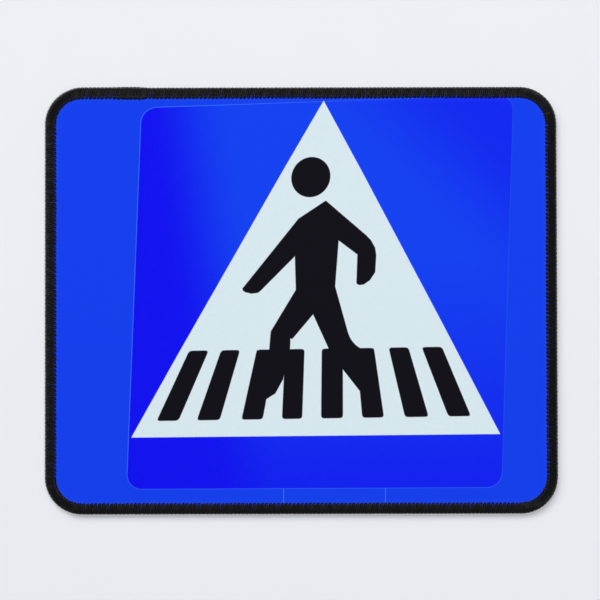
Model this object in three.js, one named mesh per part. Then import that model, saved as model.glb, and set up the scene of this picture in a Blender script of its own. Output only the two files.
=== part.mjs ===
// Stitched cloth mouse pad: a printed cloth bonded to a foamed rubber sheet,
// with a three-thread overlocked edge all the way round.
// Millimetres. X runs along the long side, Y towards the far long side, Z up.
// The origin is on the underside, below the middle of the pad.
import * as THREE from "three";
import { LoftGeometry } from "three/addons/geometries/LoftGeometry.js";

// Overall size, measured over the stitching.
const padLength = 240;
const padWidth = 200;
const cornerRadius = 17.3;

// The laminate, from the underside up.
const rubberThickness = 2.5;
const filmThickness = 0.1;
const clothThickness = 0.4;

// The stitched edge.
const borderWidth = 4.8;
const needleRowWidth = 0.5;
const threadStand = 0.35; // how far the threads stand above the cloth
const rimPress = 0.1; // how far the threads press the cloth's rim down
const rimLift = 0.35; // how far the threads press the rubber's rim up
const edgeBuild = 0.5; // how far the threads stand out from the cut edge
const shoulderRadius = 1.1; // rounding of the threads where they turn down over the edge
const innerRounding = 0.1; // rounding of the threads along the inner side of the border
const pressedWidth = 5.0; // width of the pressed rim, a little more than the border's

// Facets.
const cornerDivisions = 6;
const shoulderSteps = 5;

// Heights and insets worked out from the sizes above.
const filmBottom = rubberThickness;
const clothBottom = filmBottom + filmThickness;
const clothTop = clothBottom + clothThickness;
const rimTop = clothTop - rimPress;
const hemTop = clothTop + threadStand;
const threadMeeting = (rimLift + rimTop) / 2;
const needleRowInset = borderWidth - needleRowWidth;

// One closed loop of the pad's outline, drawn in from the outer edge, at one height.
function outline(inset, z) {
  const halfX = padLength / 2 - cornerRadius;
  const halfY = padWidth / 2 - cornerRadius;
  const radius = cornerRadius - inset;
  const quarter = Math.PI / 2;
  const path = new THREE.Path();
  path.absarc(halfX, halfY, radius, 0, quarter);
  path.absarc(-halfX, halfY, radius, quarter, 2 * quarter);
  path.absarc(-halfX, -halfY, radius, 2 * quarter, 3 * quarter);
  path.absarc(halfX, -halfY, radius, 3 * quarter, 4 * quarter);
  return path.getPoints(cornerDivisions).map((p) => new THREE.Vector3(p.x, p.y, z));
}

// A sheet: outlines stacked from the bottom up, closed below and above.
function sheet(section) {
  const loops = section.map(([inset, z]) => outline(inset, z));
  return new LoftGeometry(loops, { capStart: true, capEnd: true });
}

// A band: a closed section carried all the way round the edge. With insets drawn
// to the right and heights upwards, the section runs clockwise.
function band(section) {
  const loops = [...section, section[0]].map(([inset, z]) => outline(inset, z));
  return new LoftGeometry(loops);
}

// The rounded shoulder of the threads, from a face of the pad to the middle of its edge.
// inward is 1 where the edge lies above the face, and -1 where it lies below.
function shoulder(faceZ, inward) {
  const points = [];
  for (let i = 0; i <= shoulderSteps; i++) {
    const angle = ((Math.PI / 2) * i) / shoulderSteps;
    const inset = shoulderRadius * (1 - Math.sin(angle));
    const z = faceZ + inward * shoulderRadius * (1 - Math.cos(angle));
    points.push([inset, z]);
  }
  return [...points, [0, threadMeeting]];
}

function named(name, geometry, color, roughness) {
  const material = new THREE.MeshStandardMaterial({ color, roughness, metalness: 0 });
  const mesh = new THREE.Mesh(geometry, material);
  mesh.name = name;
  return mesh;
}

// Foamed rubber. Its rim is pressed up by the lower threads, so the pad lies flat.
function rubberBase() {
  const section = [
    [pressedWidth, 0],
    [pressedWidth, rimLift],
    [edgeBuild, rimLift],
    [edgeBuild, filmBottom],
  ];
  return named("rubber_base", sheet(section), 0x1b1b1c, 0.9);
}

// The glue between the rubber and the cloth.
function bondingFilm() {
  const section = [
    [edgeBuild, filmBottom],
    [edgeBuild, clothBottom],
  ];
  return named("bonding_film", sheet(section), 0xd8d4c4, 0.4);
}

// The printed cloth, pressed down along its rim by the upper threads.
function clothFace() {
  const section = [
    [edgeBuild, clothBottom],
    [edgeBuild, rimTop],
    [pressedWidth, rimTop],
    [pressedWidth, clothTop],
  ];
  return named("cloth_top", sheet(section), 0x163fea, 0.85);
}

// The row of needle stitches along the inner side of the border.
function needleThread() {
  const crown = hemTop - innerRounding;
  const section = [
    [needleRowInset, rimTop],
    [needleRowInset, crown],
    [borderWidth - innerRounding, crown],
    [borderWidth, crown - innerRounding],
    [borderWidth, rimTop],
  ];
  return named("needle_thread", band(section), 0x141214, 0.8);
}

// The thread over the top of the edge, down to the middle of its thickness.
function upperLooperThread() {
  const section = [
    ...shoulder(hemTop, -1).reverse(),
    [needleRowInset - innerRounding, hemTop],
    [needleRowInset, hemTop - innerRounding],
    [needleRowInset, rimTop],
    [edgeBuild, rimTop],
    [edgeBuild, threadMeeting],
  ];
  return named("upper_looper_thread", band(section), 0x1a1819, 0.75);
}

// The thread under the edge, up to the middle of its thickness.
function lowerLooperThread() {
  const section = [
    [edgeBuild, threadMeeting],
    [edgeBuild, rimLift],
    [borderWidth, rimLift],
    [borderWidth, innerRounding],
    [borderWidth - innerRounding, 0],
    ...shoulder(0, 1),
  ];
  return named("lower_looper_thread", band(section), 0x1a1819, 0.75);
}

const mousePad = new THREE.Group();
mousePad.name = "mouse_pad";
mousePad.add(
  rubberBase(),
  bondingFilm(),
  clothFace(),
  needleThread(),
  upperLooperThread(),
  lowerLooperThread(),
);

export default mousePad;
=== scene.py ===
import math
import random
import bmesh
import bpy
from mathutils import Matrix, Vector


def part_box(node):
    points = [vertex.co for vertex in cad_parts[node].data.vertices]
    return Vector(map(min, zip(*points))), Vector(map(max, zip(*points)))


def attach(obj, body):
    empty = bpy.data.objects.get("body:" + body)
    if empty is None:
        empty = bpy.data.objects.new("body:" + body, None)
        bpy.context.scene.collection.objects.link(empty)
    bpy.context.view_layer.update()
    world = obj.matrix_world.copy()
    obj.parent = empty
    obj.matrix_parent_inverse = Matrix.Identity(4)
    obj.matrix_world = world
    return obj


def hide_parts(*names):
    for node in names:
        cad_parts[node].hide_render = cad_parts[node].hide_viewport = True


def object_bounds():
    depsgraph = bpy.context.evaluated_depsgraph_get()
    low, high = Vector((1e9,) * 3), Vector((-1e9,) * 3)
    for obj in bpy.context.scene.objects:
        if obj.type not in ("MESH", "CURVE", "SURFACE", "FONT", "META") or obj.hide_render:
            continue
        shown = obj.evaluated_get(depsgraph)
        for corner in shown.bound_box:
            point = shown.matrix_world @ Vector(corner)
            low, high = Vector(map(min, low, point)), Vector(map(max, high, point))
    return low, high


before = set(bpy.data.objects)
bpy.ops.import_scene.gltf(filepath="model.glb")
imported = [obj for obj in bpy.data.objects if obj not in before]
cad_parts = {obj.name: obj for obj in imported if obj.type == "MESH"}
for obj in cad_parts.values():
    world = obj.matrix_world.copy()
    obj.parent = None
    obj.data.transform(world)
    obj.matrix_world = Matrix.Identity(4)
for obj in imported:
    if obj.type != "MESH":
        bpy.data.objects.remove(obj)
cadLow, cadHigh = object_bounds()
print("frame loaded")

mm = 0.001
fullTurn = 2 * math.pi
draw = random.Random(24)

# the pad's outline over the stitching, and its layers, from the frame
padHalf = (cadHigh - cadLow) / 2
cornerRadius = 17.3 * mm
halfX = padHalf.x - cornerRadius
halfY = padHalf.y - cornerRadius
sides = (2 * halfX, 2 * halfY, 2 * halfX, 2 * halfY)
corners = ((halfX, halfY), (halfX, -halfY), (-halfX, -halfY), (-halfX, halfY))
cornerRun = cornerRadius * fullTurn / 4
perimeter = sum(sides) + 4 * cornerRun
clothLow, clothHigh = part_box("cloth_top")
rubberLow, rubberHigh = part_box("rubber_base")
cutInset = padHalf.x - clothHigh.x  # the laminate's cut edge lies this far inside the threads

# the seam that every piece follows; travel runs clockwise from the left end of the far side
seam = {
    "stitchLength": 1.855 * mm,
    "start": 15.5 * mm,  # travel to the first stitch
    "overlap": 7,  # stitches sewn again over the first ones
    "bulge": 0.3 * mm,  # how far the doubled stretch stands out
    "bulgeRises": (-26 * mm, -14 * mm),
    "bulgeFalls": (9 * mm, 15 * mm),
    "bulgeHeights": (-0.5, 2.2),  # in mm: the lower threads stand out less than the upper ones
    "bulgeFade": 1.3,  # how soon the bulge fades on the way inwards
    "againBeside": 0.3,  # how far along, in stitches, the second sewing lies
    "againTip": 0.28,  # how much deeper, in mm, its tips reach
    "againUnder": 0.3,  # how much of its stand it has below the middle height
    "middleHeight": 1.5,  # in mm
    "wander": 0.12,  # slow drift of the tips in mm, and its waves round the pad
    "wanderWaves": (5, 9, 14, 23),
}
stitches = round(perimeter / seam["stitchLength"])
spacing = perimeter / stitches


def edgePlace(travel, inset):  # a point on the pad, and the direction out of it
    travel = travel % perimeter
    turn = 0
    while travel >= sides[turn] + cornerRun:
        travel -= sides[turn] + cornerRun
        turn += 1
    bend = max(travel - sides[turn], 0) / cornerRadius
    facing = fullTurn / 4 * (1 - turn) - bend
    out = Vector((math.cos(facing), math.sin(facing), 0))
    back = Vector((-out.y, out.x, 0)) * max(sides[turn] - travel, 0)
    return Vector((*corners[turn], 0)) + back + out * (cornerRadius - inset), out


def edgeReading(point):  # travel and inset of a point on the pad
    coreX = min(max(point.x, -halfX), halfX)
    coreY = min(max(point.y, -halfY), halfY)
    overX = point.x - coreX
    overY = point.y - coreY
    if overX == 0 and overY == 0:
        return 0, cornerRadius + min(halfX - abs(coreX), halfY - abs(coreY))
    turned = math.atan2(overX, overY) % fullTurn
    quarter = int(turned / fullTurn * 4 + 0.0001) % 4  # the last bit takes up rounding
    passed = (halfX + coreX, halfY - coreY, halfX - coreX, halfY + coreY)
    travel = cornerRadius * turned + sum(sides[:quarter]) + passed[quarter]
    return travel, cornerRadius - math.hypot(overX, overY)


def ease(value, low, high):
    t = min(max((value - low) / (high - low), 0), 1)
    return t * t * (3 - 2 * t)


def wander(travel):  # a slow closed wobble round the edge
    angle = travel / perimeter * fullTurn
    waves = seam["wanderWaves"]
    return seam["wander"] * sum(math.sin(angle * wave + wave * wave) for wave in waves) / len(waves)


def bulge(travel):  # where the seam's end lies over its start
    distance = (travel - seam["start"] + perimeter / 2) % perimeter - perimeter / 2
    return seam["bulge"] * ease(distance, *seam["bulgeRises"]) * (1 - ease(distance, *seam["bulgeFalls"]))


class Wire:  # a node's output that can stand in an expression
    def __init__(self, tree, socket=None):
        self.tree = tree
        self.socket = socket

    def node(self, kind, settings, values, result=0):
        made = self.tree.nodes.new(kind)
        for name, value in settings.items():
            setattr(made, name, value)
        for name, value in values.items():
            if isinstance(value, Wire):
                self.tree.links.new(value.socket, made.inputs[name])
            else:
                made.inputs[name].default_value = value
        return Wire(self.tree, made.outputs[result])

    def also(self, result):  # another output of the same node
        return Wire(self.tree, self.socket.node.outputs[result])

    def work(self, operation, *values, clamp=False):  # a Math node
        settings = {"operation": operation, "use_clamp": clamp}
        return self.node("ShaderNodeMath", settings, dict(enumerate(values)))

    def __add__(self, other):
        return self.work("ADD", self, other)

    def __sub__(self, other):
        return self.work("SUBTRACT", self, other)

    def __rsub__(self, other):
        return self.work("SUBTRACT", other, self)

    def __mul__(self, other):
        return self.work("MULTIPLY", self, other)

    __radd__ = __add__
    __rmul__ = __mul__

    def __abs__(self):
        return self.work("ABSOLUTE", self)

    def times(self, factor, plus):  # multiplied, with something added
        return self.work("MULTIPLY_ADD", self, factor, plus)

    def clamp(self, factor=1, plus=0):  # the same, held between 0 and 1
        return self.work("MULTIPLY_ADD", self, factor, plus, clamp=True)

    def root(self):
        return self.work("SQRT", self)

    def wave(self, length):
        return self.work("SINE", self * (fullTurn / length))

    def ease(self, low, high):  # 0 at low, 1 at high, smooth between them
        settings = {"interpolation_type": "SMOOTHSTEP"}
        return self.node("ShaderNodeMapRange", settings, {"Value": self, "From Min": low, "From Max": high})

    def least(self, other):
        return self.work("MINIMUM", self, other)

    def most(self, other, rounding=0):
        if rounding:
            return self.work("SMOOTH_MAX", self, other, rounding)
        return self.work("MAXIMUM", self, other)

    def mix(self, without, within):  # colours, with self as the factor
        settings = {"data_type": "RGBA"}
        return self.node("ShaderNodeMix", settings, {0: self, 6: without, 7: within}, 2)

    def scaled(self, amounts):
        return self.node("ShaderNodeVectorMath", {"operation": "MULTIPLY"}, {0: self, 1: amounts})

    def tinted(self, tone):
        amounts = self.node("ShaderNodeCombineXYZ", {}, {0: tone, 1: tone, 2: tone})
        return self.scaled(amounts)

    def noise(self, size, detail, roughness):
        values = {"Vector": self, "Scale": 1 / size, "Detail": detail, "Roughness": roughness}
        return self.node("ShaderNodeTexNoise", {}, values)

    def cells(self, size):
        return self.node("ShaderNodeTexVoronoi", {}, {"Vector": self, "Scale": 1 / size})

    def bump(self, strength, distance):
        values = {"Height": self, "Strength": strength, "Distance": distance}
        return self.node("ShaderNodeBump", {}, values)


def paint(red, green, blue):  # an sRGB colour for a socket
    def channel(value):
        value = value / 255
        return value / 12.92 if value <= 0.04045 else ((value + 0.055) / 1.055) ** 2.4
    return (channel(red), channel(green), channel(blue), 1.0)


def startMaterial(name, **fixed):  # fixed values go straight onto the shader's own sockets
    material = bpy.data.materials.new(name)
    material.use_nodes = True
    tree = material.node_tree
    shader = tree.nodes["Principled BSDF"]
    for socket, value in fixed.items():
        shader.inputs[socket.replace("_", " ")].default_value = value
    place = Wire(tree).node("ShaderNodeTexCoord", {}, {}, "Object")
    return material, shader, place


def plug(shader, **wires):
    for socket, wire in wires.items():
        wire.tree.links.new(wire.socket, shader.inputs[socket.replace("_", " ")])


def finishPiece(name, mesh, material, node):
    mesh.materials.append(material)
    mesh.polygons.foreach_set("use_smooth", [True] * len(mesh.polygons))
    piece = bpy.data.objects.new(name, mesh)
    bpy.context.scene.collection.objects.link(piece)
    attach(piece, "root")
    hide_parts(node)
    print("made", name, "with", len(mesh.polygons), "faces")
    return piece


def toMesh(name, bm):
    bm.normal_update()
    mesh = bpy.data.meshes.new(name)
    bm.to_mesh(mesh)
    bm.free()
    return mesh


def roundedSheet(inset, height, step):  # one face with the pad's outline
    bm = bmesh.new()
    bmesh.ops.create_grid(bm, x_segments=1, y_segments=1, size=1)
    for vert in bm.verts:
        vert.co = Vector((vert.co.x * (padHalf.x - inset), vert.co.y * (padHalf.y - inset), height))
    bmesh.ops.bevel(
        bm, geom=list(bm.verts), offset=cornerRadius - inset, segments=round(cornerRun / step),
        profile=0.5, affect="VERTICES", material=-1,
    )
    for edge in [edge for edge in bm.edges if edge.calc_length() > cornerRadius]:  # the straight sides
        cuts = round(edge.calc_length() / step) - 1
        bmesh.ops.subdivide_edges(bm, edges=[edge], cuts=cuts)
    return bm


def ringsInward(bm, insets):  # rings of faces that follow the edge round the middle face
    middle = bm.faces[:]
    for last, inset in zip(insets, insets[1:]):
        bmesh.ops.inset_region(
            bm, faces=middle, thickness=inset - last, use_boundary=True, use_even_offset=True,
        )
    return middle


def cutInCells(bm, faces, step, angles):  # parallel cuts across these faces, at each angle
    edges = dict.fromkeys(edge for face in faces for edge in face.edges)
    verts = dict.fromkeys(vert for face in faces for vert in face.verts)
    geom = [*faces, *edges, *verts]
    reach = int(math.hypot(padHalf.x, padHalf.y) / step)
    for angle in angles:
        across = Vector((math.cos(angle), math.sin(angle), 0))
        for i in range(-reach, reach + 1):
            cut = bmesh.ops.bisect_plane(bm, geom=geom, plane_co=across * (i * step), plane_no=across)
            geom = cut["geom"]
    return [part for part in geom if isinstance(part, bmesh.types.BMFace)]


def skirt(bm, edges, inset, height):  # carries an open rim on to another inset and height
    extruded = bmesh.ops.extrude_edge_only(bm, edges=edges)["geom"]
    for vert in [part for part in extruded if isinstance(part, bmesh.types.BMVert)]:
        travel, _ = edgeReading(vert.co)
        place, _ = edgePlace(travel, inset)
        vert.co = Vector((place.x, place.y, height))
    return [part for part in extruded if isinstance(part, bmesh.types.BMEdge)]


# the printed cloth
cloth = {
    "edgeStep": spacing / 4,
    "rings": (2.6, 3.9, 4.6, 5.0, 5.4, 5.9, 6.6, 7.6, 9.2),  # insets in mm
    "cell": 6 * mm,
    "press": 0.1 * mm,  # how far the threads hold its rim down
    "pressFades": (4.5 * mm, 6.6 * mm),  # insets
    "pucker": 0.045 * mm,  # the little pulls at the needle holes
    "puckerRises": (3.9 * mm, 4.7 * mm),
    "puckerFalls": (4.9 * mm, 7.4 * mm),
    "ripple": 0.02 * mm,  # slow swells of the middle
    "rippleX": 31 * mm,
    "rippleY": 23 * mm,
    "rippleRises": (7 * mm, 25 * mm),
    "threadPitch": 0.34,  # in mm
    "weave": 0.035,
    "weaveRise": 0.6,
    "fibreSize": 0.9 * mm,
    "mottle": 0.09,
    "relief": 0.06 * mm,
    "reliefStrength": 0.3,
}


def clothSurface(travel, inset):  # its height, and how much the needle pulls at it, which sets the paler fibres and painted highlight at the needle holes
    rim = 1 - ease(inset, *cloth["pressFades"])
    near = ease(inset, *cloth["puckerRises"]) * (1 - ease(inset, *cloth["puckerFalls"]))
    pull = math.cos((travel - seam["start"]) / spacing * fullTurn)  # 1 at a needle hole
    height = clothHigh.z - cloth["press"] * rim - cloth["pucker"] * pull * near
    return height, near * (0.5 + 0.5 * pull)


def clothMesh():
    bm = roundedSheet(cutInset, clothHigh.z, cloth["edgeStep"])
    middle = ringsInward(bm, [cutInset] + [ring * mm for ring in cloth["rings"]])
    cutInCells(bm, middle, cloth["cell"], (0, fullTurn / 4))
    # the weight of the paler fibres and painted highlight at the needle holes, for the cloth's colour
    pulledHighlight = bm.verts.layers.float.new("pulledHighlight")
    for vert in bm.verts:
        travel, inset = edgeReading(vert.co)
        vert.co.z, vert[pulledHighlight] = clothSurface(travel, inset)
        swell = math.sin(vert.co.x / cloth["rippleX"]) * math.sin(vert.co.y / cloth["rippleY"] + 1)
        vert.co.z += cloth["ripple"] * (swell - 1) * ease(inset, *cloth["rippleRises"])
    rim = [edge for edge in bm.edges if edge.is_boundary]
    rim = skirt(bm, rim, cutInset, clothLow.z)
    bmesh.ops.edgeloop_fill(bm, edges=rim)
    return toMesh("printedCloth", bm)


# the printed picture, in millimetres from the middle of the pad; outlines turn left
picture = {
    "softness": 0.3,  # width of a printed edge
    "field": (21, 65, 239),
    "panelDeep": (19, 18, 243),
    "panelBright": (21, 67, 243),
    "keyline": (74, 136, 255),
    "white": (219, 235, 242),
    "ink": (20, 18, 26),
    "panelLeft": -78.4,
    "panelRight": 96.64,
    "panelTop": 93.0,
    "panelBottom": -88.05,
    "leftLean": 0.0394,
    "rightLean": 0.0339,
    "topTilt": 0.0325,
    "bottomTilt": 0.0027,
    "panelRounding": 7.1,
    "glowLean": 0.15,  # how the panel's brightness runs over it
    "glowRises": (-66, -18),
    "glowDown": (0.0058, 0.88),
    "glowCorner": (95, 175),
    "glowCornerLoss": 0.5,
    "glowPower": 1.55,
    "grain": 0.25,
    "grainSize": 3 * mm,
    "grainStretch": 4,
    "keylineWidth": 0.3,
    "keylineSoftness": 0.22,
    "keylineLeft": 0.65,  # strengths
    "keylineRight": 0.2,
    "keylineBottom": 0.35,
    "keylineFades": (-60, 60),
    "keylineRises": (-87, -78),
    "keylineCorner": (60, 150),
    "keylineCornerLoss": 0.2,
    "postLines": (-8.4, 39.3),
    "postStrength": 0.75,
    # paler fibres and a painted highlight where the needle pulls the cloth down
    "pulledHighlightTone": (90, 125, 235),
    "pulledHighlightStrength": 0.1,
    "triangle": ((10.8, 93.7), (-8.9, 60), (-57.6, -25), (-79.6, -64.1), (93, -62.8), (65.7, -10),
                 (28.9, 60)),
    "head": (4.7, 57.8),
    "headHalf": (9.2, 9.45),
    "headLean": 0.067,
    "torso": ((11.7, 46.8), (-1.2, 38.3), (-2.9, 20.6), (-2.5, 4.9), (5.6, -6.7), (16, 6.5), (17.7, 27.9)),
    "farArm": ((-1.2, 38.3), (-27.5, 5.6), (-27.3, 4.6), (-26.2, 3.8), (-23.2, 3.1), (-20.2, 3.5),
               (-18.8, 4.6), (4, 27.5)),
    "upperArm": ((11.7, 46.8), (11.7, 32.5), (26.5, 21.3), (35.2, 21.1), (34.8, 24.6), (32.9, 28.1),
                 (30.6, 30.5)),
    "forearm": ((26.6, 27), (25.9, 7.8), (27.2, 7), (29.4, 7.3), (32.3, 9.3), (34.8, 13.1), (35.3, 21.1),
                (34.8, 24.6)),
    "farThigh": ((-2.5, 4.9), (-14.3, -14.6), (-4.2, -18.2), (5.6, -6.7), (8, 5)),
    "farShin": ((-14.3, -14.6), (-15.1, -24), (-5.3, -24), (-5, -19.5), (-5.2, -14)),
    "farFoot": ((-5, -22.9), (-20.9, -23.4), (-20.5, -46.6), (-16.5, -46.4), (-12.1, -43.6), (-8.5, -37)),
    "nearLeg": ((16, 6.5), (5, 5), (5.6, -6.7), (13.4, -24), (24.2, -24), (22.6, -17.5)),
    "nearFoot": ((12, -22.9), (19.5, -32.5), (27, -42.4), (33, -42.4), (34, -22.6)),
    "nearHeel": ((21.9, -15.2), (22.6, -24), (29, -24), (28.6, -22.4)),
    "heelHollow": (33.3, -12.3, 11.6),  # middle and radius of the circle cut out of the heel
    "barTop": -22.8,
    "barBottom": -55.5,
    "barTilt": 0.0135,
    "barRounding": 2.4,
    # each bar of the crossing: left and right ends of its top, then of its bottom
    "bars": (
        (-52.5, -43.3, -67.8, -57.5),
        (-37.5, -28.6, -49, -38.2),
        (-20.8, -12, -28.1, -18.1),
        (-7.6, 1.6, -9.1, 0.4),
        (9.6, 19.5, 9.2, 19.5),
        (25.6, 34.1, 28.5, 38.7),
        (40.9, 50.2, 48.5, 59.6),
        (56.4, 65.9, 68.8, 79.4),
    ),
}
limbs = ("torso", "farArm", "upperArm", "forearm", "farThigh", "farShin", "farFoot", "nearLeg", "nearFoot")


def outsideLine(x, y, start, end):  # distance from a line, growing on its right
    run = end[0] - start[0]
    rise = end[1] - start[1]
    length = math.hypot(run, rise)
    plus = (run * start[1] - rise * start[0]) / length
    return x.times(rise / length, y.times(-run / length, plus))


def outsideShape(x, y, points):
    lines = [outsideLine(x, y, start, end) for start, end in zip(points, points[1:] + points[:1])]
    distance = lines[0]
    for line in lines[1:]:
        distance = distance.most(line)
    return distance


def outsideCircle(x, y, circle):
    overX = x - circle[0]
    overY = y - circle[1]
    return (overX * overX + overY * overY).root() - circle[2]


def outsideHead(x, y):  # an oval leaning a little
    halfWidth, halfHeight = picture["headHalf"]
    overX = x - picture["head"][0]
    overY = overX.times(-picture["headLean"], y - picture["head"][1]) * (halfWidth / halfHeight)
    return (overX * overX + overY * overY).root() - halfWidth


def outsidePanel(x, y):
    fromLeft = y.times(-picture["leftLean"], x)
    fromRight = y.times(-picture["rightLean"], x)
    fromTop = x.times(-picture["topTilt"], y)
    fromBottom = x.times(-picture["bottomTilt"], y)
    acrossX = (picture["panelLeft"] - fromLeft).most(fromRight - picture["panelRight"])
    acrossY = (fromTop - picture["panelTop"]).most(picture["panelBottom"] - fromBottom)
    acrossX = acrossX + picture["panelRounding"]
    acrossY = acrossY + picture["panelRounding"]
    overX = acrossX.most(0)
    overY = acrossY.most(0)
    corner = (overX * overX + overY * overY).root()
    return corner + acrossX.most(acrossY).least(0) - picture["panelRounding"]


def outsideBars(x, y):
    height = picture["barTop"] - picture["barBottom"]
    level = x.times(-picture["barTilt"], y - (picture["barTop"] + picture["barBottom"]) / 2)
    ends = abs(level) - height / 2
    nearest = None
    for topLeft, topRight, bottomLeft, bottomRight in picture["bars"]:
        middle = (topLeft + topRight + bottomLeft + bottomRight) / 4
        lean = (topLeft + topRight - bottomLeft - bottomRight) / 2 / height
        halfWidth = (topRight - topLeft + bottomRight - bottomLeft) / 4
        taper = (topRight - topLeft - bottomRight + bottomLeft) / 2 / height
        across = abs(level.times(-lean, x - middle)) - level.times(taper, halfWidth)
        bar = across.most(ends, picture["barRounding"])
        nearest = bar if nearest is None else nearest.least(bar)
    return nearest


def within(distance, softness=picture["softness"]):  # 1 inside a printed shape, with a soft edge
    return distance.clamp(-1 / softness, 0.5)


def clothMaterial():
    material, shader, place = startMaterial("printedCloth", Roughness=0.85, Specular_IOR_Level=0.06)
    x = place.node("ShaderNodeSeparateXYZ", {}, {0: place.scaled((1000, 1000, 1000))})
    y = x.also(1)
    panel = outsidePanel(x, y)
    keyline = abs(panel) - picture["keylineWidth"] / 2
    posts = abs(x - picture["postLines"][0]).least(abs(x - picture["postLines"][1]))
    posts = (posts - picture["keylineWidth"] / 2).most(0 - panel).most(y)
    black = outsideBars(x, y).least(outsideHead(x, y))
    for limb in limbs:
        black = black.least(outsideShape(x, y, picture[limb]))
    hollow = 0 - outsideCircle(x, y, picture["heelHollow"])
    black = black.least(outsideShape(x, y, picture["nearHeel"]).most(hollow))

    # the blue panel darkens to its left, its bottom and its top right corner, with a fine grain
    glow = y.times(picture["glowLean"], x).ease(*picture["glowRises"]) * y.clamp(*picture["glowDown"])
    glow = glow * (x + y).ease(*picture["glowCorner"]).times(-picture["glowCornerLoss"], 1)
    glow = glow.work("POWER", glow, picture["glowPower"])
    stretch = picture["grainStretch"]
    upright = place.scaled((stretch, 1, 1)).noise(picture["grainSize"], detail=3, roughness=0.7)
    level = place.scaled((1, stretch, 1)).noise(picture["grainSize"], detail=3, roughness=0.7)
    glow = glow + (upright + level).times(picture["grain"], -picture["grain"])
    blue = glow.clamp().mix(paint(*picture["panelDeep"]), paint(*picture["panelBright"]))
    colour = within(panel).mix(paint(*picture["field"]), blue)

    # the line round the panel is strongest on the left and fades to the right and along the bottom
    left, right, bottom = [picture["keyline" + side] for side in ("Left", "Right", "Bottom")]
    strength = x.ease(*picture["keylineFades"]).times(right - left, left - bottom)
    strength = strength * y.ease(*picture["keylineRises"]) + bottom
    strength = strength * (x + y).ease(*picture["keylineCorner"]).times(-picture["keylineCornerLoss"], 1)
    fine = picture["keylineSoftness"]
    colour = (within(keyline, fine) * strength).mix(colour, paint(*picture["keyline"]))
    colour = (within(posts, fine) * picture["postStrength"]).mix(colour, paint(*picture["keyline"]))
    colour = within(outsideShape(x, y, picture["triangle"])).mix(colour, paint(*picture["white"]))
    colour = within(black).mix(colour, paint(*picture["ink"]))

    # the needle pulls the undyed sides of the fibres up; this paler tint at the needle holes is also a
    # painted highlight, standing in for the light caught where the cloth dips to the seam
    pulledHighlight = place.node("ShaderNodeAttribute", {"attribute_name": "pulledHighlight"}, {}, "Fac")
    colour = (pulledHighlight * picture["pulledHighlightStrength"]).mix(colour, paint(*picture["pulledHighlightTone"]))

    weave = x.wave(cloth["threadPitch"]) * y.wave(cloth["threadPitch"])
    fibre = place.noise(cloth["fibreSize"], detail=4, roughness=0.65)
    tone = weave.times(cloth["weave"], fibre.times(cloth["mottle"], 1 - cloth["mottle"] / 2))
    relief = weave.times(cloth["weaveRise"], fibre).bump(cloth["reliefStrength"], cloth["relief"])
    plug(shader, Base_Color=colour.tinted(tone), Normal=relief)
    return material


printedCloth = finishPiece("printedCloth", clothMesh(), clothMaterial(), "cloth_top")

# the foamed rubber under it
foam = {
    "edgeStep": 2 * mm,
    "rimLift": 0.36 * mm,  # its rim sits on the lower threads
    "rimWidth": 5.2 * mm,
    "rings": (2.5, 4.9, 5.5),  # insets in mm
    "stud": 2.7 * mm,
    "studGap": 0.42 * mm,
    "groove": 0.22 * mm,
    "leastArea": 0.75,  # shares of a whole cell below which a cut one carries no stud
    "leastSide": 0.5,
    "sharpAngle": fullTurn / 20,
    "side": (  # insets and heights of the cut edge, from the underside up
        (0.62 * mm, 0.6 * mm), (0.52 * mm, 1.0 * mm), (0.5 * mm, 1.5 * mm), (0.54 * mm, 2.1 * mm),
        (0.6 * mm, 2.38 * mm), (0.8 * mm, rubberHigh.z),
    ),
    "grainSize": 0.7 * mm,
    "grainRise": 0.5,
    "pitSize": 0.35 * mm,
    "pitContrast": (2.4, -0.1),
    "dustSize": 24 * mm,
    "dustContrast": (1.6, -0.5),
    "dustStrength": 0.25,
    "relief": 0.08 * mm,
    "reliefStrength": 0.45,
    "roughness": 0.7,
    "roughnessGrain": 0.22,
    "deep": (17, 17, 18),
    "light": (38, 37, 38),
    "dust": (62, 61, 60),
}


def foamMesh():
    bm = roundedSheet(cutInset, rubberLow.z, foam["edgeStep"])
    middle = ringsInward(bm, [cutInset] + [ring * mm for ring in foam["rings"]])
    for vert in bm.verts:
        _, inset = edgeReading(vert.co)
        vert.co.z = foam["rimLift"] if inset < foam["rimWidth"] else foam["groove"]
    cells = cutInCells(bm, middle, foam["stud"], (fullTurn / 8, fullTurn * 3 / 8))
    leastArea = foam["leastArea"] * max(cell.calc_area() for cell in cells)
    leastSide = foam["leastSide"] * foam["stud"]
    studs = [cell for cell in cells if cell.calc_area() > leastArea]
    studs = [stud for stud in studs if min(edge.calc_length() for edge in stud.edges) > leastSide]
    bmesh.ops.inset_individual(bm, faces=studs, thickness=foam["studGap"], use_even_offset=True)
    for vert in {vert for stud in studs for vert in stud.verts}:
        vert.co.z = rubberLow.z
    bmesh.ops.reverse_faces(bm, faces=bm.faces[:])
    rim = [edge for edge in bm.edges if edge.is_boundary]
    for inset, height in foam["side"]:
        rim = skirt(bm, rim, inset, height)
    bmesh.ops.edgeloop_fill(bm, edges=rim)
    mesh = toMesh("foamBase", bm)
    mesh.set_sharp_from_angle(angle=foam["sharpAngle"])
    return mesh


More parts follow.
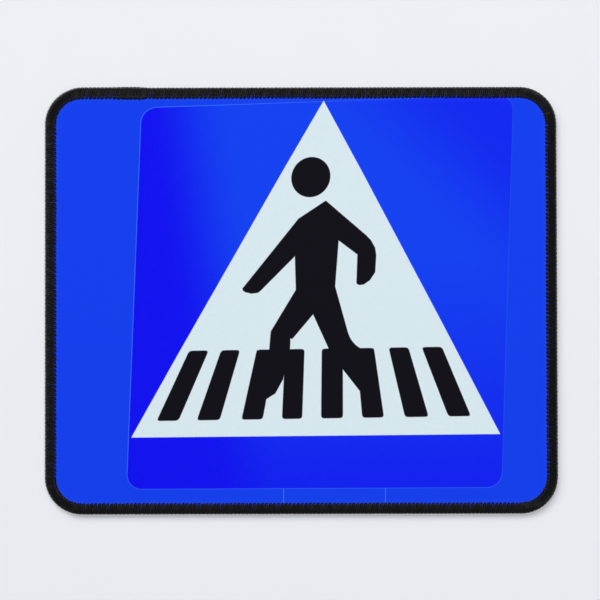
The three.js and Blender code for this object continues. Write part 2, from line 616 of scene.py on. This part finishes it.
def foamMaterial():
    material, shader, place = startMaterial("foamRubber", Specular_IOR_Level=0.3)
    grain = place.noise(foam["grainSize"], detail=5, roughness=0.65)
    pits = place.cells(foam["pitSize"]).clamp(*foam["pitContrast"])
    dust = place.noise(foam["dustSize"], detail=3, roughness=0.6).clamp(*foam["dustContrast"])
    colour = grain.mix(paint(*foam["deep"]), paint(*foam["light"]))
    colour = (dust * foam["dustStrength"]).mix(colour, paint(*foam["dust"]))
    roughness = grain.times(foam["roughnessGrain"], foam["roughness"])
    relief = grain.times(foam["grainRise"], pits).bump(foam["reliefStrength"], foam["relief"])
    plug(shader, Base_Color=colour, Roughness=roughness, Normal=relief)
    return material


foamBase = finishPiece("foamBase", foamMesh(), foamMaterial(), "rubber_base")

# the threads of the overlocked edge; half a stitch is a row of places, each with
# its inset and height in mm, how far along it lies in stitches, and its fullness
upper = {
    "width": 1.08 * mm,
    "thickness": 0.44 * mm,
    "slant": 0.45,
    "unevenWidth": 0.05,
    "unevenSide": 0.035,
    "unevenTip": 0.07,
    "sewnOver": 0.15 * mm,
    "half": (
        (0.14, 1.50, -0.50, 0.90), (0.08, 2.05, -0.34, 1.08), (0.34, 2.70, -0.27, 1.10),
        (1.05, 3.10, -0.25, 1.04), (2.40, 3.14, -0.24, 1.00), (3.60, 3.12, -0.24, 0.87),
        (4.42, 3.08, -0.24, 0.78), (4.86, 3.03, -0.20, 0.68), (5.02, 2.99, -0.10, 0.62),
    ),
    "tip": (5.06, 2.98, 0.0, 0.6),
}
lower = {
    "width": 1.08 * mm,
    "thickness": 0.4 * mm,
    "slant": -0.35,
    "unevenWidth": 0.05,
    "unevenSide": 0.035,
    "unevenTip": 0.1,
    "sewnOver": 0.06 * mm,
    "half": (
        (0.40, 1.74, -0.50, 0.85), (0.16, 1.20, -0.35, 1.05), (0.36, 0.66, -0.28, 1.10),
        (1.05, 0.30, -0.25, 1.04), (2.40, 0.28, -0.24, 1.00), (3.60, 0.28, -0.24, 0.95),
        (4.30, 0.28, -0.23, 0.82), (4.70, 0.29, -0.19, 0.62), (4.94, 0.30, -0.10, 0.55),
    ),
    "tip": (5.0, 0.30, 0.0, 0.52),
}
needle = {
    "width": 0.36 * mm,
    "thickness": 0.34 * mm,
    "slant": 0,
    "unevenWidth": 0.05,
    "unevenSide": 0.03,
    "unevenTip": 0.02,
    "sewnOver": 0.16 * mm,
    "half": (
        (4.22, 3.36, -0.50, 1.0), (4.22, 3.37, -0.30, 1.0), (4.23, 3.29, -0.14, 1.0),
        (4.25, 2.9, -0.06, 0.9), (4.28, 0.6, -0.05, 0.8), (4.40, 0.2, -0.12, 0.9),
    ),
    "tip": (4.70, 0.19, 0.0, 0.9),
}
core = {  # the threads are laid flat against this core, as seen in a cut across the edge
    "inset": 1.35 * mm,
    "low": 1.3 * mm,
    "high": 1.95 * mm,
}


def awayFromCore(point):  # the direction that a thread lying here faces
    travel, inset = edgeReading(point)
    _, out = edgePlace(travel, 0)
    sideways = max(core["inset"] - inset, 0)
    upwards = point.z - min(max(point.z, core["low"]), core["high"])
    if sideways == 0 and upwards == 0:
        return out
    return (out * sideways + Vector((0, 0, upwards))).normalized()


def threadPlaces(thread):
    places = []
    half = list(thread["half"])
    back = [(inset, height, -along, full) for inset, height, along, full in reversed(half[1:])]
    deepest = thread["tip"][0]
    for stitch in range(stitches + seam["overlap"] + 1):
        again = ease(stitch, stitches - 1, stitches + 2)
        beside = draw.uniform(-1, 1) * thread["unevenSide"] + again * seam["againBeside"]
        tipShift = draw.uniform(-1, 1) * thread["unevenTip"] + again * seam["againTip"]
        for inset, height, along, full in half + [thread["tip"]] + back:
            reach = inset / deepest
            along += beside + thread["slant"] * (0.5 - reach)
            travel = seam["start"] + (stitch + along) * spacing
            stand = bulge(travel) * ease(height, *seam["bulgeHeights"]) * (1 - reach * seam["bulgeFade"])
            stretch = tipShift * reach ** 3 + wander(travel) * reach
            point, _ = edgePlace(travel, (inset + stretch) * mm - stand)
            point.z = height * mm
            share = 1 if height > seam["middleHeight"] else seam["againUnder"]
            point += awayFromCore(point) * (thread["sewnOver"] * again * share)
            places.append((point, full * (1 + draw.uniform(-1, 1) * thread["unevenWidth"])))
    return places


def threadMesh(name, thread):
    curve = bpy.data.curves.new(name, "CURVE")
    curve.dimensions = "3D"
    curve.bevel_depth = thread["width"] / 2
    curve.bevel_resolution = 1
    curve.resolution_u = 1
    places = threadPlaces(thread)
    spline = curve.splines.new("POLY")
    spline.points.add(len(places) - 1)
    for point, (place, fullness) in zip(spline.points, places):
        point.co = (*place, 1)
        point.radius = fullness
    drawn = bpy.data.objects.new(name, curve)
    bpy.context.scene.collection.objects.link(drawn)
    seen = bpy.context.evaluated_depsgraph_get()
    mesh = bpy.data.meshes.new_from_object(drawn.evaluated_get(seen))
    bpy.data.objects.remove(drawn)
    bm = bmesh.new()
    bm.from_mesh(mesh)
    bpy.data.meshes.remove(mesh)
    bm.verts.ensure_lookup_table()

    # each ring of the tube is pressed flat against the edge
    around = len(bm.verts) // len(places)
    for i, (place, fullness) in enumerate(places):
        away = awayFromCore(place)
        press = 1 - min(thread["thickness"] / (thread["width"] * fullness), 1)
        for vert in bm.verts[i * around:(i + 1) * around]:
            vert.co -= away * (vert.co - place).dot(away) * press

    # the map's first number becomes the length of thread in mm
    lengths = [0]
    for (last, _), (place, _) in zip(places, places[1:]):
        lengths.append(lengths[-1] + (place - last).length / mm)
    uvMap = bm.loops.layers.uv["UVMap"]
    for face in bm.faces:
        for loop in face.loops:
            loop[uvMap].uv.x = lengths[round(loop[uvMap].uv.x * (len(places) - 1))]
    ends = [edge for edge in bm.edges if edge.is_boundary]
    bmesh.ops.holes_fill(bm, edges=ends, sides=around)
    print(name, "is", round(lengths[-1] / 1000, 2), "m of thread")
    return toMesh(name, bm)


strand = {  # what all three threads have in common
    "fuzzSize": 0.2 * mm,
    "wearSize": 11 * mm,
    "plyTone": 0.22,
    "fibreTone": 0.9,
    "fuzzTone": 0.2,
    "wearTone": (0.5, -0.2),
    "plyRise": 0.35,
    "fibreRise": 1.4,
    "fuzzRise": 0.6,
    "reliefStrength": 0.6,
    "roughnessFibre": 0.25,
}


def threadMaterial(name, thread, **fixed):
    material, shader, place = startMaterial(name, **fixed)
    uv = place.node("ShaderNodeUVMap", {"uv_map": "UVMap"}, {})
    along = place.node("ShaderNodeSeparateXYZ", {}, {0: uv})
    around = along.also(1)
    drawnOut = uv.scaled((1 / thread["fibreLength"], thread["fibres"], 0))
    fibre = drawnOut.noise(1, detail=3, roughness=0.6)
    fuzz = place.noise(strand["fuzzSize"], detail=3, roughness=0.7)
    wear = place.noise(strand["wearSize"], detail=3, roughness=0.6)
    ply = along.times(1 / thread["twist"], around * thread["plies"]).wave(1)
    tone = ply.times(strand["plyTone"], fibre * strand["fibreTone"])
    tone = tone + (wear.times(*strand["wearTone"]) + fuzz * strand["fuzzTone"])
    colour = tone.clamp().mix(paint(*thread["deep"]), paint(*thread["light"]))
    rise = ply.times(strand["plyRise"], fibre.times(strand["fibreRise"], fuzz * strand["fuzzRise"]))
    relief = rise.bump(strand["reliefStrength"], thread["relief"])
    roughness = fibre.times(strand["roughnessFibre"], thread["roughness"])
    plug(shader, Base_Color=colour, Roughness=roughness, Normal=relief)
    return material


looper = {
    "deep": (3, 3, 4),
    "light": (22, 20, 23),
    "fibreLength": 1.6,  # in mm
    "fibres": 13,
    "twist": 2.4,  # mm for one turn
    "plies": 2,
    "relief": 0.03 * mm,
    "roughness": 0.2,
}
needleLook = {
    "deep": (7, 8, 14),
    "light": (42, 44, 58),
    "fibreLength": 1.2,  # in mm
    "fibres": 7,
    "twist": 0.9,  # mm for one turn
    "plies": 2,
    "relief": 0.04 * mm,
    "roughness": 0.3,
}
looperThread = threadMaterial("looperThread", looper, Specular_IOR_Level=0.3, Sheen_Weight=0.01)
needleThread = threadMaterial("needleThread", needleLook, Specular_IOR_Level=0.25, Sheen_Weight=0.02)
finishPiece("upperLooper", threadMesh("upperLooper", upper), looperThread, "upper_looper_thread")
finishPiece("lowerLooper", threadMesh("lowerLooper", lower), looperThread, "lower_looper_thread")
finishPiece("needleStitches", threadMesh("needleStitches", needle), needleThread, "needle_thread")

# the film of glue, which keeps its own mesh
glue = {
    "smearSize": 9 * mm,
    "smearStretch": 5,
    "deep": (203, 198, 182),
    "light": (228, 224, 212),
    "relief": 0.02 * mm,
    "reliefStrength": 0.2,
    "roughness": 0.3,
    "roughnessSmear": 0.3,
}


def glueMaterial():
    material, shader, place = startMaterial("glueFilm", Specular_IOR_Level=0.45)
    stretched = place.scaled((1, glue["smearStretch"], 1))
    smear = stretched.noise(glue["smearSize"], detail=4, roughness=0.6)
    colour = smear.mix(paint(*glue["deep"]), paint(*glue["light"]))
    roughness = smear.times(glue["roughnessSmear"], glue["roughness"])
    relief = smear.bump(glue["reliefStrength"], glue["relief"])
    plug(shader, Base_Color=colour, Roughness=roughness, Normal=relief)
    return material


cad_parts["bonding_film"].material_slots[0].material = glueMaterial()
print("pieces done")

# floor, lights and camera
studio = {
    "floorSize": 8,
    "floorGap": 0.01 * mm,  # below the studs, so that they don't lie in the floor
    "floorTone": (240, 241, 247),
    "floorMottle": 0.985,
    "floorGrain": 40 * mm,
    "air": 0.11,
    "airTone": (0.97, 0.98, 1, 1),
}
# soft panels: where, how large and how strong; shade is plain light, shine only shows in reflections
lamps = {
    "key": {"place": (-2.2, 3.0, 3), "size": (5.6, 3.4), "power": 222, "gives": "shade"},
    "overhead": {"place": (0.6, -0.3, 3), "size": (0.8, 0.7), "power": 42, "gives": "shade"},
    "far": {"place": (-0.9, 3.1, 0.55), "size": (2, 0.8), "power": 56, "gives": "shine"},
    "left": {"place": (-2.9, 0.4, 0.7), "size": (1, 2), "power": 15, "gives": "shine"},
    "right": {"place": (2.8, 0.3, 0.8), "size": (1, 2), "power": 26, "gives": "shine"},
}
cameraSet = {
    "lens": 140.5,
    "sensor": 36,
    "place": (0.73 * mm, -26.3 * mm, 1.1),
    "turns": ((1.38, "X"), (0.065, "Y"), (-0.13, "Z")),  # degrees
}


def addFloor():
    bm = bmesh.new()
    under = Matrix.Translation((0, 0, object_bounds()[0].z - studio["floorGap"]))
    bmesh.ops.create_grid(bm, x_segments=1, y_segments=1, size=studio["floorSize"] / 2, matrix=under)
    floor = bpy.data.objects.new("floor", toMesh("floor", bm))
    bpy.context.scene.collection.objects.link(floor)
    material, shader, place = startMaterial("paleTable", Specular_IOR_Level=0.1, Roughness=0.8)
    grain = place.noise(studio["floorGrain"], detail=3, roughness=0.5)
    tone = paint(*studio["floorTone"])
    darker = (*(part * studio["floorMottle"] for part in tone[:3]), 1.0)
    plug(shader, Base_Color=grain.mix(tone, darker))
    floor.data.materials.append(material)


def addLamp(name, lamp):
    data = bpy.data.lights.new(name, "AREA")
    data.shape = "RECTANGLE"
    data.size, data.size_y = lamp["size"]
    data.energy = lamp["power"]
    panel = bpy.data.objects.new(name, data)
    panel.location = lamp["place"]
    panel.visible_glossy = lamp["gives"] == "shine"
    panel.visible_diffuse = lamp["gives"] == "shade"
    if lamp["gives"] == "shine":
        panel.rotation_euler = Vector(lamp["place"]).to_track_quat("Z", "Y").to_euler()
    bpy.context.scene.collection.objects.link(panel)


def addCamera():
    data = bpy.data.cameras.new("camera")
    data.lens = cameraSet["lens"]
    data.sensor_width = cameraSet["sensor"]
    camera = bpy.data.objects.new("camera", data)
    turned = Matrix.Identity(4)
    for degrees, axis in cameraSet["turns"]:
        turned = turned @ Matrix.Rotation(math.radians(degrees), 4, axis)
    camera.matrix_world = Matrix.Translation(cameraSet["place"]) @ turned
    bpy.context.scene.collection.objects.link(camera)
    bpy.context.scene.camera = camera


addFloor()
for name, lamp in lamps.items():
    addLamp(name, lamp)
world = bpy.data.worlds.new("studio")
world.use_nodes = True
air = world.node_tree.nodes["Background"]
air.inputs["Color"].default_value = studio["airTone"]
air.inputs["Strength"].default_value = studio["air"]
bpy.context.scene.world = world
bpy.context.scene.view_settings.view_transform = "Standard"
addCamera()
print("studio done")
